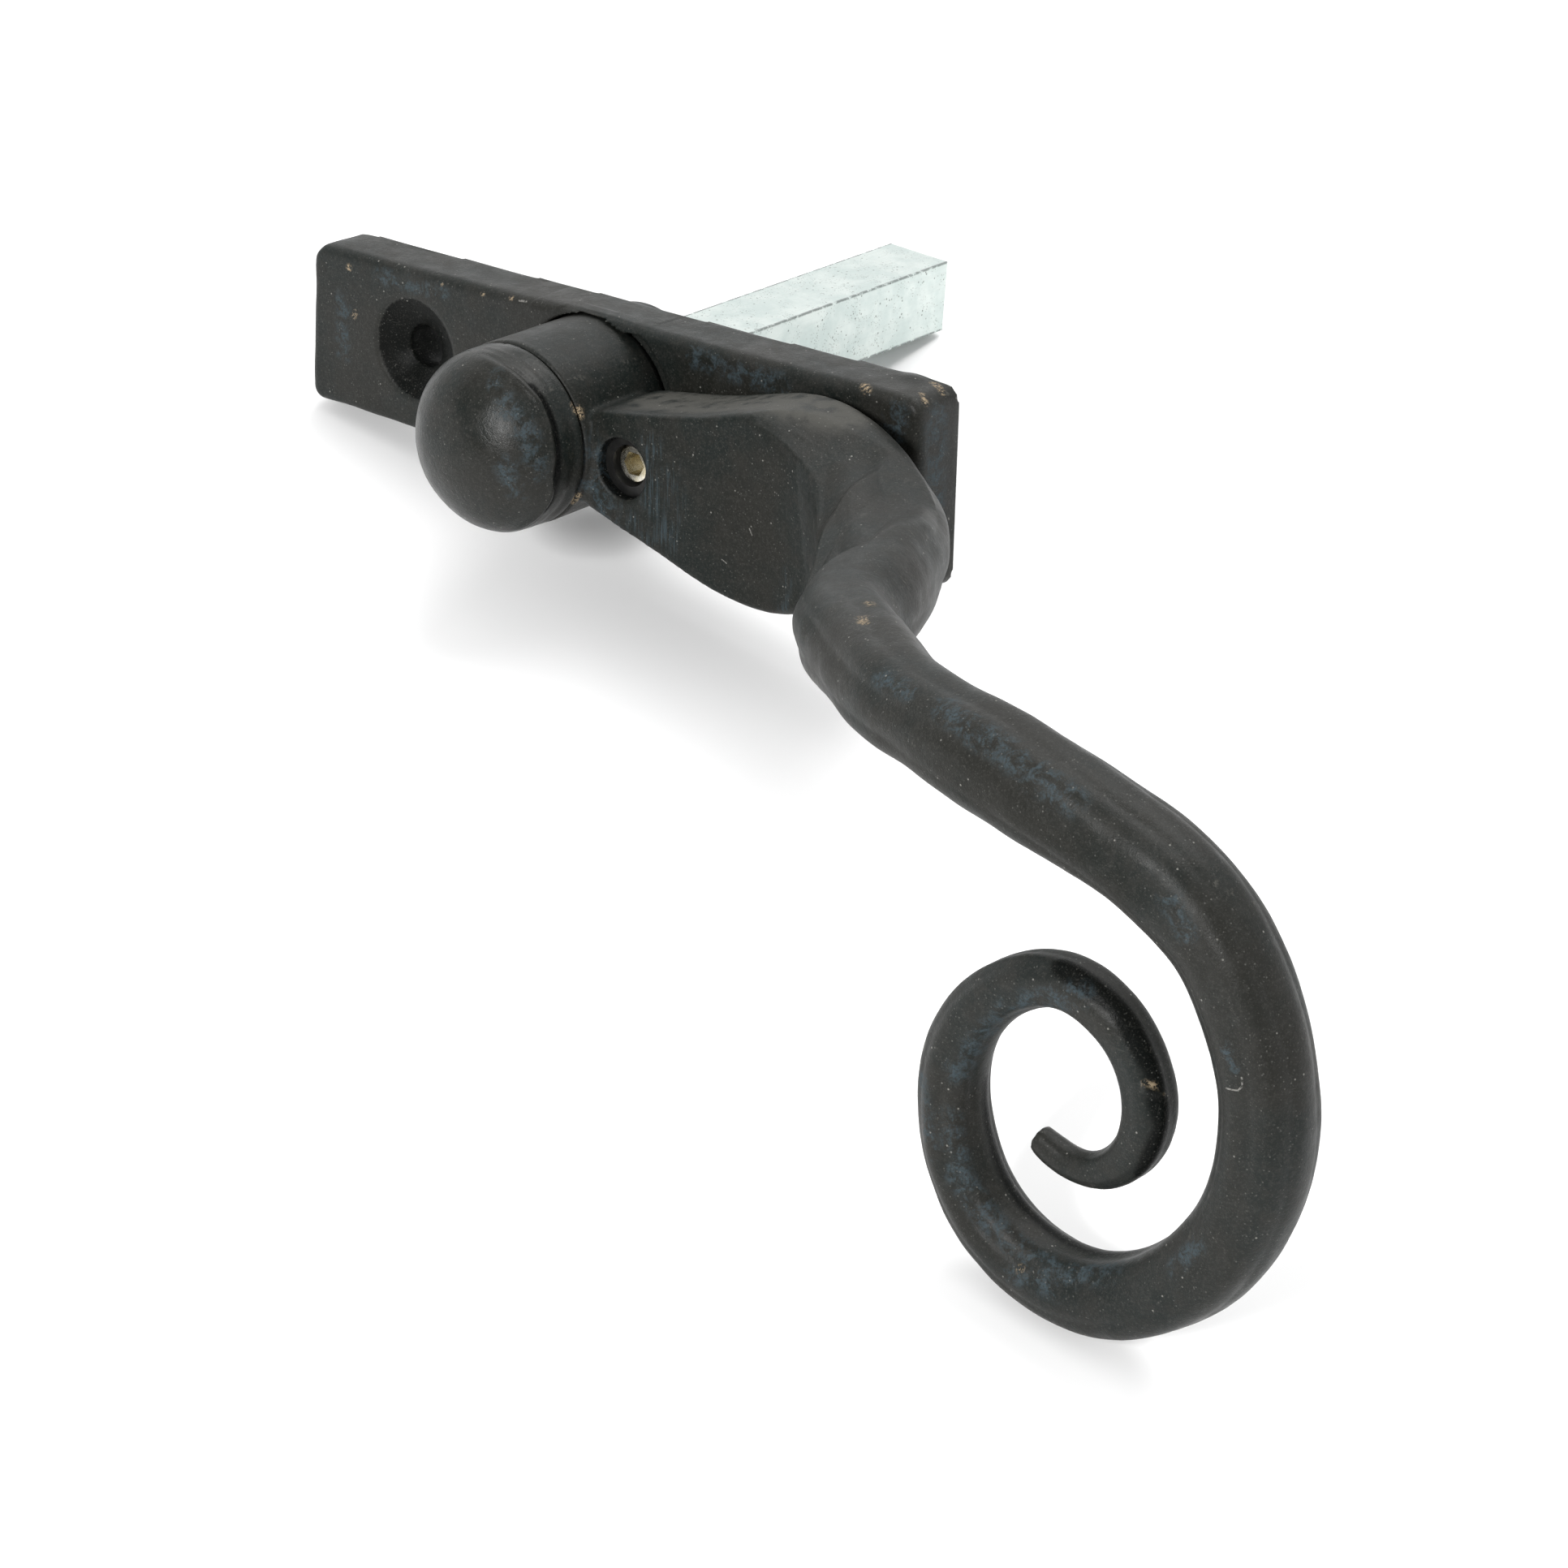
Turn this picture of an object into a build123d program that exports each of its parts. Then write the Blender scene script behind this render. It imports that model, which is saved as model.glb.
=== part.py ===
from build123d import *
import math
import os

os.makedirs("parts", exist_ok=True)

# ---------------------------------------------------------------------------
# Locking scroll-tail window fastener on a rectangular back plate.
# Millimetres, +Z up. The origin is on the spindle axis, in the plane of the
# back plate's mounting face. The spindle points along +Y, into the window;
# the domed cap and the scroll stand towards -Y; the plate's long side is X.
# ---------------------------------------------------------------------------

# --- back plate ---
plate_left, plate_right = -35.2, 36.9      # ends of the plate along X
plate_t = 5.5                              # plate thickness
plate_top = [(-34.8, 7.85), (-24.0, 8.05), (-12.0, 8.22), (0.0, 8.45),
             (12.0, 8.66), (24.0, 8.95), (36.9, 9.18)]
plate_bottom = [(36.9, -8.88), (24.0, -8.66), (12.0, -8.46), (0.0, -8.22),
                (-12.0, -7.96), (-24.0, -7.62), (-35.6, -7.60)]
fix_centres = 43.0                         # fixing hole centres
fix_r = 2.00                               # fixing hole radius
fix_csk_r = 4.75                           # countersink radius
fix_csk_angle = 120
plate_bore_r = 7.10                        # bore for the bearing bush
seat_r = 9.35                              # seat for the hub, let into the front face
seat_x = 0.80                              # set off toward the lock side
seat_depth = 1.60
relief_r = 7.90                            # shallow relief round the bore, behind
relief_depth = 0.25
lock_x, lock_z = 11.5, -0.7                # lock screw position
lock_hole_r = 2.05
lock_hole_depth = 3.4

# --- hub and spigot of the lever ---
hub_r = 8.25
hub_back = 4.30                            # hub face, this far in front of y = 0
hub_front = 15.0
spigot_r = 6.30
groove_r = 5.80
spigot_end = 3.50                          # spigot stands out behind the plate
groove_y0, groove_y1 = 2.32, 2.92          # circlip groove
square = 7.0                               # spindle across flats
square_hole = 7.08
spindle_twist = -3.0                       # slack angle of the square, degrees
spindle_out = 42.3                         # spindle length behind the plate
spindle_in = 11.6                          # spindle length inside the hub
cap_socket_r = 5.05
cap_socket_depth = 3.0

# --- blade ---
blade_y = -10.2                            # middle of the blade's thickness
blade_t = 8.0
sleeve_r = 2.75
screw_r = 1.82
screw_bore_r = 1.87

# --- arm and scroll: x, y, z, half-width, half-height, corner fraction ---
# half-width is measured across (towards Y), half-height towards Z.
arm_sections = [
    (3.00, -10.20, -0.60, 4.00, 3.60, 0.17),
    (9.00, -10.20, -0.88, 4.00, 4.82, 0.15),
    (15.50, -10.20, -1.18, 4.00, 6.32, 0.14),
    (22.00, -10.20, -1.30, 4.00, 8.00, 0.14),
    (27.00, -10.22, -0.98, 4.02, 8.78, 0.18),
    (31.05, -10.40, -0.42, 4.26, 8.42, 0.36),
    (34.72, -11.14, -0.04, 4.74, 7.27, 0.60),
    (38.38, -13.09, 0.43, 5.15, 5.95, 0.78),
    (42.13, -16.74, 0.83, 5.30, 5.09, 0.86),
    (45.94, -22.24, 0.98, 4.95, 4.75, 0.88),
    (49.21, -28.30, 1.35, 4.57, 4.45, 0.88),
    (52.54, -34.60, 1.94, 3.83, 4.02, 0.88),
    (57.84, -39.21, 2.98, 3.82, 3.89, 0.88),
    (64.03, -43.71, 3.47, 3.69, 3.70, 0.88),
    (70.51, -46.73, 3.63, 3.61, 3.56, 0.88),
    (76.96, -48.53, 3.40, 3.72, 3.85, 0.88),
    (83.15, -49.44, 2.63, 3.73, 3.86, 0.88),
    (88.77, -49.50, 1.25, 3.70, 3.70, 0.88),
    (93.59, -49.50, -0.63, 3.66, 3.66, 0.88),
    (97.64, -49.50, -3.68, 3.50, 3.50, 0.88),
    (100.49, -49.50, -8.16, 3.40, 3.40, 0.88),
    (102.16, -49.50, -13.07, 3.35, 3.35, 0.88),
    (102.53, -49.50, -18.18, 3.36, 3.36, 0.88),
    (101.38, -49.50, -23.62, 3.30, 3.30, 0.88),
    (98.66, -49.50, -28.64, 3.21, 3.21, 0.88),
    (94.62, -49.50, -32.66, 3.07, 3.07, 0.88),
    (89.59, -49.50, -35.06, 3.05, 3.05, 0.88),
    (84.40, -49.50, -35.05, 2.91, 2.91, 0.88),
    (79.81, -49.50, -32.84, 2.79, 2.79, 0.88),
    (76.98, -49.50, -29.05, 2.69, 2.69, 0.88),
    (75.72, -49.50, -24.47, 2.57, 2.57, 0.88),
    (75.93, -49.50, -19.88, 2.44, 2.44, 0.88),
    (77.70, -49.50, -15.89, 2.28, 2.28, 0.88),
    (81.21, -49.50, -12.53, 2.08, 2.08, 0.88),
    (85.40, -49.50, -11.15, 2.03, 2.03, 0.88),
    (89.30, -49.50, -12.40, 2.00, 2.00, 0.88),
    (91.92, -49.50, -15.44, 1.90, 1.90, 0.88),
    (92.75, -49.50, -18.96, 1.93, 1.93, 0.88),
    (91.74, -49.50, -22.37, 1.73, 1.73, 0.88),
    (89.22, -49.50, -24.79, 1.39, 1.39, 0.88),
    (86.24, -49.50, -25.32, 1.20, 1.20, 0.88),
    (83.35, -49.50, -24.32, 0.98, 0.98, 0.88),
]


def section_planes(sections):
    """Planes across the arm's centre line, their x pointing towards +Y."""
    pts = [Vector(s[0], s[1], s[2]) for s in sections]
    planes = []
    for i, p in enumerate(pts):
        a = pts[max(i - 1, 0)]
        b = pts[min(i + 1, len(pts) - 1)]
        if 0 < i < len(pts) - 1:
            # tangent of the circle through three neighbouring points
            d0, d1 = p - a, b - p
            t = d0 * (d1.length / d0.length) + d1 * (d0.length / d1.length)
        else:
            t = b - a
        if i < 4:
            t = Vector(1, 0, 0)
        t = t.normalized()
        side = Vector(0, 1, 0) - t * t.dot(Vector(0, 1, 0))
        planes.append(Plane(origin=p, x_dir=side.normalized(), z_dir=t))
    return planes


# ---------------------------------------------------------------------------
# Back plate
# ---------------------------------------------------------------------------
with BuildPart() as backplate:
    with BuildSketch(Plane.XZ) as outline:
        with BuildLine():
            top = Spline(*plate_top)
            right = Line(plate_top[-1], plate_bottom[0])
            bottom = Spline(*plate_bottom)
            left = Line(plate_bottom[-1], plate_top[0])
        make_face()
        fillet(outline.vertices(), radius=1.3)
    extrude(amount=plate_t)
    # softened front edges
    fillet(backplate.faces().sort_by(Axis.Y)[0].outer_wire().edges(), radius=0.9)
    # seat that the hub sinks into
    with BuildSketch(Plane.XZ.offset(plate_t)):
        with Locations((seat_x, 0)):
            Circle(seat_r)
    extrude(amount=-seat_depth, mode=Mode.SUBTRACT)
    # shallow relief in the back face, clear of the retaining disc
    with BuildSketch(Plane.XZ):
        Circle(relief_r)
    extrude(amount=relief_depth, mode=Mode.SUBTRACT)
    # bore for the bush
    with BuildSketch(Plane.XZ):
        Circle(plate_bore_r)
    extrude(amount=plate_t, mode=Mode.SUBTRACT)
    # countersunk fixing holes, opened from the front face
    with Locations(Plane.XZ.offset(plate_t)):
        with Locations((-fix_centres / 2, 0), (fix_centres / 2, 0)):
            CounterSinkHole(radius=fix_r, counter_sink_radius=fix_csk_r,
                            counter_sink_angle=fix_csk_angle)
    # pocket that the lock screw runs into
    with BuildSketch(Plane.XZ.offset(plate_t)):
        with Locations((lock_x, lock_z)):
            Circle(lock_hole_r)
    extrude(amount=-lock_hole_depth, mode=Mode.SUBTRACT)
backplate.part.label = "backplate"

# ---------------------------------------------------------------------------
# Flanged bearing bush, pressed into the plate; its flange lies on the seat
# ---------------------------------------------------------------------------
seat_y = plate_t - seat_depth               # seat face, in front of y = 0
with BuildPart() as bearing_bush:
    with BuildSketch(Plane.XZ.offset(relief_depth)):
        Circle(plate_bore_r)
    extrude(amount=seat_y - relief_depth)
    with BuildSketch(Plane.XZ.offset(seat_y)):
        Circle(7.90)
    extrude(amount=0.35)
    with BuildSketch(Plane.XZ):
        Circle(spigot_r + 0.05)
    extrude(amount=seat_y + 0.35, mode=Mode.SUBTRACT)
bearing_bush.part.label = "bearing_bush"

# ---------------------------------------------------------------------------
# Lever: hub, blade, cranked arm and scroll, one forging
# ---------------------------------------------------------------------------
planes = section_planes(arm_sections)
with BuildPart() as lever:
    for plane, s in zip(planes, arm_sections):
        with BuildSketch(plane):
            RectangleRounded(2 * s[3], 2 * s[4], s[5] * min(s[3], s[4]))
    loft()
    # hub
    with BuildSketch(Plane.XZ.offset(hub_back)):
        Circle(hub_r)
    extrude(amount=hub_front - hub_back)
    # spigot that turns in the bush and stands out behind the plate
    with BuildSketch(Plane.XZ.offset(-spigot_end)):
        Circle(spigot_r)
    extrude(amount=hub_back + spigot_end + 0.5)
    chamfer(lever.faces().sort_by(Axis.Y)[-1].edges(), length=0.3)
    # circlip groove
    with BuildSketch(Plane.XZ.offset(-groove_y1)):
        Circle(spigot_r + 0.2)
        Circle(groove_r, mode=Mode.SUBTRACT)
    extrude(amount=groove_y1 - groove_y0, mode=Mode.SUBTRACT)
    # square hole for the spindle
    with BuildSketch(Plane.XZ.offset(-spigot_end)):
        Rectangle(square_hole, square_hole, rotation=spindle_twist)
    extrude(amount=spigot_end + spindle_in + 0.4, mode=Mode.SUBTRACT)
    # socket for the cap's plug
    with BuildSketch(Plane.XZ.offset(hub_front)):
        Circle(cap_socket_r)
    extrude(amount=-cap_socket_depth, mode=Mode.SUBTRACT)
    # cross hole for the spindle's set screw, on the side away from the blade
    with BuildSketch(Plane.YZ.offset(-hub_r - 0.5)):
        with Locations((-9.4, 0.0)):
            Circle(2.05)
    extrude(amount=hub_r + 0.5 - 2.0, mode=Mode.SUBTRACT)
    # hole for the lock sleeve, through the blade
    with BuildSketch(Plane.XZ.offset(5.6)):
        with Locations((lock_x, lock_z)):
            Circle(sleeve_r)
    extrude(amount=9.5, mode=Mode.SUBTRACT)
lever.part.label = "lever"

# ---------------------------------------------------------------------------
# Domed cap, pressed into the front of the hub
# ---------------------------------------------------------------------------
cap_back = hub_front + 0.12
with BuildPart() as dome_cap:
    with BuildSketch(Plane.XY) as cap_profile:
        with BuildLine():
            l1 = Polyline((0, -12.3), (4.6, -12.3), (5.0, -12.7), (5.0, -cap_back),
                          (8.0, -cap_back), (8.2, -cap_back - 0.25),
                          (8.2, -17.15), (8.02, -17.35), (8.14, -17.60))
            l2 = EllipticalCenterArc((0, -17.60), 8.14, 5.6, start_angle=270,
                                     arc_size=90)
            l3 = Line((0, -17.60 - 5.6), (0, -12.3))
        make_face()
    revolve(axis=Axis.Y)
dome_cap.part.label = "dome_cap"

# ---------------------------------------------------------------------------
# Square spindle
# ---------------------------------------------------------------------------
with BuildPart() as spindle:
    with BuildSketch(Plane.XZ.offset(-spindle_out)):
        Rectangle(square, square, rotation=spindle_twist)
    extrude(amount=spindle_out + spindle_in)
    chamfer(spindle.faces().sort_by(Axis.Y)[-1].edges(), length=0.35)
    chamfer(spindle.faces().sort_by(Axis.Y)[0].edges(), length=0.35)
    # dimple for the set screw
    with BuildSketch(Plane.YZ.offset(-4.2)):
        with Locations((-9.4, 0.0)):
            Circle(1.6)
    extrude(amount=1.4, mode=Mode.SUBTRACT)
spindle.part.label = "spindle"

# ---------------------------------------------------------------------------
# Set screw that holds the spindle in the hub
# ---------------------------------------------------------------------------
with BuildPart() as spindle_set_screw:
    with BuildSketch(Plane.YZ.offset(-7.0)):
        with Locations((-9.4, 0.0)):
            Circle(2.0)
    extrude(amount=7.0 - 3.75)
    with BuildSketch(Plane.YZ.offset(-3.75)):
        with Locations((-9.4, 0.0)):
            Circle(1.4)
    extrude(amount=0.75)
    with BuildSketch(Plane.YZ.offset(-7.0)):
        with Locations((-9.4, 0.0)):
            RegularPolygon(radius=1.0, side_count=6, major_radius=False)
    extrude(amount=1.6, mode=Mode.SUBTRACT)
spindle_set_screw.part.label = "spindle_set_screw"

# ---------------------------------------------------------------------------
# Wave washer, retaining disc and circlip, on the spigot behind the plate
# ---------------------------------------------------------------------------
with BuildPart() as wave_washer:
    # three crests, built as a ring of short lofted blocks
    n_seg = 36
    t_w, amp = 0.25, 0.42
    mid_y = 0.32
    r_in, r_out = 6.45, 7.70
    for k in range(n_seg):
        a0, a1 = 360.0 * k / n_seg, 360.0 * (k + 1) / n_seg
        y0 = mid_y + amp * math.cos(math.radians(3 * a0))
        y1 = mid_y + amp * math.cos(math.radians(3 * a1))
        am = math.radians((a0 + a1) / 2)
        ym = (y0 + y1) / 2
        half = math.radians((a1 - a0) / 2) * 1.04
        slope = (y1 - y0) / (2 * half)
        with BuildSketch(Plane.XZ.offset(-(ym - t_w / 2))):
            with BuildLine():
                p = [(r_in * math.cos(am - half), r_in * math.sin(am - half)),
                     (r_out * math.cos(am - half), r_out * math.sin(am - half)),
                     (r_out * math.cos(am + half), r_out * math.sin(am + half)),
                     (r_in * math.cos(am + half), r_in * math.sin(am + half))]
                Polyline(*p, close=True)
            make_face()
        extrude(amount=-t_w)
wave_washer.part.label = "wave_washer"

with BuildPart() as retaining_disc:
    with BuildSketch(Plane.XZ.offset(-2.28)):
        Circle(7.80)
        Circle(spigot_r + 0.03, mode=Mode.SUBTRACT)
    extrude(amount=2.28 - 0.92)
    chamfer(retaining_disc.faces().sort_by(Axis.Y)[-1].outer_wire().edges(), length=0.2)
retaining_disc.part.label = "retaining_disc"

with BuildPart() as circlip:
    with BuildSketch(Plane.XZ.offset(-2.89)) as clip_sketch:
        Circle(7.25)
        Circle(groove_r + 0.03, mode=Mode.SUBTRACT)
        with Locations((0, -7.0)):
            Rectangle(5.6, 4.5, mode=Mode.SUBTRACT)
        with Locations((-3.35, -6.55), (3.35, -6.55)):
            Circle(0.95)
        Circle(groove_r + 0.03, mode=Mode.SUBTRACT)
        with Locations((-3.35, -6.55), (3.35, -6.55)):
            Circle(0.40, mode=Mode.SUBTRACT)
    extrude(amount=0.54)
circlip.part.label = "circlip"

# ---------------------------------------------------------------------------
# Lock sleeve and lock screw
# ---------------------------------------------------------------------------
with BuildPart() as lock_sleeve:
    with BuildSketch(Plane.XZ.offset(6.5)):
        with Locations((lock_x, lock_z)):
            Circle(sleeve_r)
            Circle(screw_bore_r, mode=Mode.SUBTRACT)
    extrude(amount=13.10 - 6.5)
lock_sleeve.part.label = "lock_sleeve"

with BuildPart() as lock_screw:
    with BuildSketch(Plane.XZ.offset(7.2)):
        with Locations((lock_x, lock_z)):
            Circle(screw_r)
    extrude(amount=12.5 - 7.2)
    # turned-down tip
    with BuildSketch(Plane.XZ.offset(6.4)):
        with Locations((lock_x, lock_z)):
            Circle(1.45)
    extrude(amount=0.9)
    # hexagon socket
    with BuildSketch(Plane.XZ.offset(12.5)):
        with Locations((lock_x, lock_z)):
            RegularPolygon(radius=1.0, side_count=6, major_radius=False)
    extrude(amount=-2.4, mode=Mode.SUBTRACT)
    chamfer(lock_screw.faces().sort_by(Axis.Y)[0].outer_wire().edges(), length=0.25)
lock_screw.part.label = "lock_screw"

# ---------------------------------------------------------------------------
pieces = [backplate, bearing_bush, lever, dome_cap, spindle, spindle_set_screw,
          wave_washer, retaining_disc, circlip, lock_sleeve, lock_screw]
for piece in pieces:
    name = piece.part.label
    export_step(piece.part, "parts/" + name + ".step")
    box = piece.part.bounding_box()
    print(name, len(piece.part.solids()), "solid(s), volume",
          round(piece.part.volume, 2), "valid", piece.part.is_valid,
          "x", round(box.min.X, 2), round(box.max.X, 2),
          "y", round(box.min.Y, 2), round(box.max.Y, 2),
          "z", round(box.min.Z, 2), round(box.max.Z, 2))
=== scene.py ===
import math
import bmesh
import bpy
import numpy as np
from mathutils import Matrix, Vector, noise


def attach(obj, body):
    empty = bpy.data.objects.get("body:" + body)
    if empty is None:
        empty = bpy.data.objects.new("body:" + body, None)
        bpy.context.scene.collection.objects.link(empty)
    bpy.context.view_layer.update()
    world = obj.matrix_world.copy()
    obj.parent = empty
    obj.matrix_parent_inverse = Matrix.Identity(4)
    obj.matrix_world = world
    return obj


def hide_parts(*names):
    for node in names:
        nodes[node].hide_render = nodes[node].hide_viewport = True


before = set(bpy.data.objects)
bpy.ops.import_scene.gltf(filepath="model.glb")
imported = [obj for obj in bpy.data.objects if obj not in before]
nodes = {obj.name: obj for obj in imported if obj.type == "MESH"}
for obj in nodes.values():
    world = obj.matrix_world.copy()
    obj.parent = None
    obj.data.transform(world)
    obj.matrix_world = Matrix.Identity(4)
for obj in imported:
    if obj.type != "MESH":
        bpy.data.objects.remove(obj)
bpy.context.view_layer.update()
scene = bpy.context.scene
scene.view_settings.view_transform = "Standard"
MM = 0.001


def coords(mesh):
    co = np.zeros(len(mesh.vertices) * 3, np.float32)
    mesh.vertices.foreach_get("co", co)
    return co.reshape(-1, 3).astype(float)


SPINDLE_TWIST = -3.0     # degrees the square bar is turned about its own axis


# ===================================================================== shapes
# The lever's centre line, as in the CAD: x, y, z, half-width, in millimetres.
ARM = np.array([
    (22.0, -10.2, -1.3, 4.0), (27.0, -10.22, -0.98, 4.02), (31.05, -10.40, -0.42, 4.26),
    (34.72, -11.14, -0.04, 4.74), (38.38, -13.09, 0.43, 5.15), (42.13, -16.74, 0.83, 5.30),
    (45.94, -22.24, 0.98, 4.95), (49.21, -28.30, 1.35, 4.57), (52.54, -34.60, 1.94, 3.83),
    (57.84, -39.21, 2.98, 3.82), (64.03, -43.71, 3.47, 3.69), (70.51, -46.73, 3.63, 3.61),
    (76.96, -48.53, 3.40, 3.72), (83.15, -49.44, 2.63, 3.73), (88.77, -49.5, 1.25, 3.70),
    (93.59, -49.5, -0.63, 3.66), (97.64, -49.5, -3.68, 3.50), (100.49, -49.5, -8.16, 3.40),
    (102.16, -49.5, -13.07, 3.35), (102.53, -49.5, -18.18, 3.36), (101.38, -49.5, -23.62, 3.30),
    (98.66, -49.5, -28.64, 3.21), (94.62, -49.5, -32.66, 3.07), (89.59, -49.5, -35.06, 3.05),
    (84.40, -49.5, -35.05, 2.91), (79.81, -49.5, -32.84, 2.79), (76.98, -49.5, -29.05, 2.69),
    (75.72, -49.5, -24.47, 2.57), (75.93, -49.5, -19.88, 2.44), (77.70, -49.5, -15.89, 2.28),
    (81.21, -49.5, -12.53, 2.08), (85.40, -49.5, -11.15, 2.03), (89.30, -49.5, -12.40, 2.00),
    (91.92, -49.5, -15.44, 1.90), (92.75, -49.5, -18.96, 1.93), (91.74, -49.5, -22.37, 1.73),
    (89.22, -49.5, -24.79, 1.39), (86.24, -49.5, -25.32, 1.20), (83.35, -49.5, -24.32, 0.98)])


def resample(path, per=8):
    """Catmull-Rom points along the centre line."""
    out = []
    n = len(path)
    for i in range(n - 1):
        p0, p1, p2, p3 = path[max(i - 1, 0)], path[i], path[i + 1], path[min(i + 2, n - 1)]
        for k in range(per):
            t = k / per
            out.append(0.5 * ((2 * p1) + (-p0 + p2) * t + (2 * p0 - 5 * p1 + 4 * p2 - p3) * t * t
                              + (-p0 + 3 * p1 - 3 * p2 + p3) * t ** 3))
    out.append(path[-1])
    return np.array(out)


def raised(x):
    """How far the plate's top edge is drawn up over the hub, in mm."""
    return 0.28 * math.exp(-(x / 6.5) ** 2)


def hub_lip(bm):
    """Closes the plate up to the hub along its top edge, where the seat runs out."""
    top_x = [-34.8, -24.0, -12.0, 0.0, 12.0, 24.0]
    top_z = [7.85, 8.05, 8.22, 8.45, 8.66, 8.95]
    levels = [(-3.6, 0.03), (-4.7, 0.05), (-5.2, 0.30), (-5.48, 0.85)]
    for xs in (np.linspace(-8.1, 6.4, 60),):
        rows = []
        for x in xs:
            arc = math.sqrt(max(8.44 ** 2 - x * x, 0.0))
            wall = math.sqrt(max(9.35 ** 2 - (x - 0.8) ** 2, 0.0))
            k = float(ramp(np.array([x]), 3.0, 6.2)[0])
            zi = arc + (wall - arc) * k - (0.0 if k == 0 else 0.02)
            zt = float(np.interp(x, top_x, top_z)) + raised(x)
            row = []
            for y, drop in levels:
                zo = max(min(zt - drop, zt), zi + 0.01)
                row.append((bm.verts.new((x * MM, y * MM, zi * MM)), bm.verts.new((x * MM, y * MM, zo * MM))))
            rows.append(row)
        for a, b in zip(rows[:-1], rows[1:]):
            for j in range(len(levels) - 1):
                bm.faces.new((a[j][1], b[j][1], b[j + 1][1], a[j + 1][1]))
                bm.faces.new((a[j][0], a[j + 1][0], b[j + 1][0], b[j][0]))
            bm.faces.new((a[0][0], b[0][0], b[0][1], a[0][1]))
            bm.faces.new((a[-1][0], a[-1][1], b[-1][1], b[-1][0]))
        for row, flip in ((rows[0], False), (rows[-1], True)):
            for j in range(len(levels) - 1):
                f = [row[j][0], row[j][1], row[j + 1][1], row[j + 1][0]]
                bm.faces.new(f[::-1] if flip else f)


def solid_copy(names, name, voxel, extra=None):
    """One welded, voxel-remeshed copy of CAD nodes, as a new object."""
    bm = bmesh.new()
    for nm in names:
        bm.from_mesh(nodes[nm].data)
    if extra is not None:
        for v in bm.verts:
            if v.co.z > 7.0 * MM and abs(v.co.x) < 20 * MM:
                v.co.z += raised(v.co.x / MM) * MM * min(1.0, (v.co.z / MM - 7.0) / 0.6)
    bmesh.ops.remove_doubles(bm, verts=bm.verts, dist=2e-6)
    if extra is not None:
        extra(bm)
        bmesh.ops.recalc_face_normals(bm, faces=bm.faces[:])
    mesh = bpy.data.meshes.new(name)
    bm.to_mesh(mesh)
    bm.free()
    obj = bpy.data.objects.new(name, mesh)
    scene.collection.objects.link(obj)
    mod = obj.modifiers.new("remesh", "REMESH")
    mod.mode = "VOXEL"
    mod.voxel_size = voxel
    mod.adaptivity = 0.0
    dg = bpy.context.evaluated_depsgraph_get()
    dg.update()
    new = bpy.data.meshes.new_from_object(obj.evaluated_get(dg))
    new.materials.clear()
    obj.modifiers.clear()
    obj.data = new
    bpy.data.meshes.remove(mesh)
    return obj


def edge_array(mesh):
    e = np.zeros(len(mesh.edges) * 2, np.int32)
    mesh.edges.foreach_get("vertices", e)
    return e.reshape(-1, 2)


def smooth(co, edges, rounds, keep=None, lam=0.5, mu=-0.53):
    """Taubin smoothing; keep is 0..1 per vertex, the share of the motion left out."""
    n = len(co)
    deg = np.bincount(edges.ravel(), minlength=n).astype(float)[:, None]
    w = 1.0 if keep is None else (1.0 - keep)[:, None]
    for _ in range(rounds):
        for f in (lam, mu):
            s = np.zeros_like(co)
            for a in range(3):
                s[:, a] = (np.bincount(edges[:, 0], co[edges[:, 1], a], n)
                           + np.bincount(edges[:, 1], co[edges[:, 0], a], n))
            co = co + f * w * (s / deg - co)
    return co


def normals_of(mesh):
    no = np.zeros(len(mesh.vertices) * 3, np.float32)
    mesh.vertices.foreach_get("normal", no)
    return no.reshape(-1, 3).astype(float)


def fbm(co_mm, scale, seed, octaves=1):
    """Perlin noise per point; scale is the wavelength in mm."""
    out = np.zeros(len(co_mm))
    amp, s = 1.0, 1.0 / scale
    for o in range(octaves):
        off = Vector((seed * 17.31 + o * 5.7, seed * 3.77 - o * 2.3, seed * 9.13))
        out += amp * np.array([noise.noise(Vector(p) * s + off) for p in co_mm])
        amp *= 0.5
        s *= 2.0
    return out


def put(obj, co):
    obj.data.vertices.foreach_set("co", co.astype(np.float32).ravel())
    obj.data.update()


def shade_smooth(obj):
    obj.data.polygons.foreach_set("use_smooth", np.ones(len(obj.data.polygons), bool))
    obj.data.update()


def ramp(x, a, b):
    t = np.clip((x - a) / (b - a), 0.0, 1.0)
    return t * t * (3 - 2 * t)


def groove(co, no, a, b, width, depth, soft=1.0):
    """Pushes vertices in (depth > 0) or out along a segment a-b, all in mm."""
    a, b = np.array(a, float), np.array(b, float)
    ba = b - a
    t = np.clip(((co - a) @ ba) / (ba @ ba), 0, 1)
    d = np.linalg.norm(co - (a + t[:, None] * ba), axis=1)
    ends = 1.0 - 0.6 * np.abs(2 * t - 1) ** 3
    f = np.exp(-(d / width) ** 2 * soft) * ends
    return co - no * (depth * f)[:, None]


vox = 0.26

# --------------------------------------------------------------------- lever
lever = solid_copy(["lever"], "lever_forged", vox * MM)
edges = edge_array(lever.data)
co = coords(lever.data) / MM
# machined parts keep their edges: hub's spigot, square hole, cap socket, lock hole
r_axis = np.hypot(co[:, 0], co[:, 2])
r_lock = np.hypot(co[:, 0] - 11.5, co[:, 2] + 0.7)
machined = np.clip((r_axis < 6.9) * 1.0 + (r_lock < 3.1) * 1.0 + (co[:, 1] > -4.9) * 1.0, 0, 1)
co = smooth(co, edges, 3, keep=0.75 * machined)
co = smooth(co, edges, 8, keep=np.clip(1 - ramp(co[:, 0], 32.0, 40.0), 0, 1))
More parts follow.
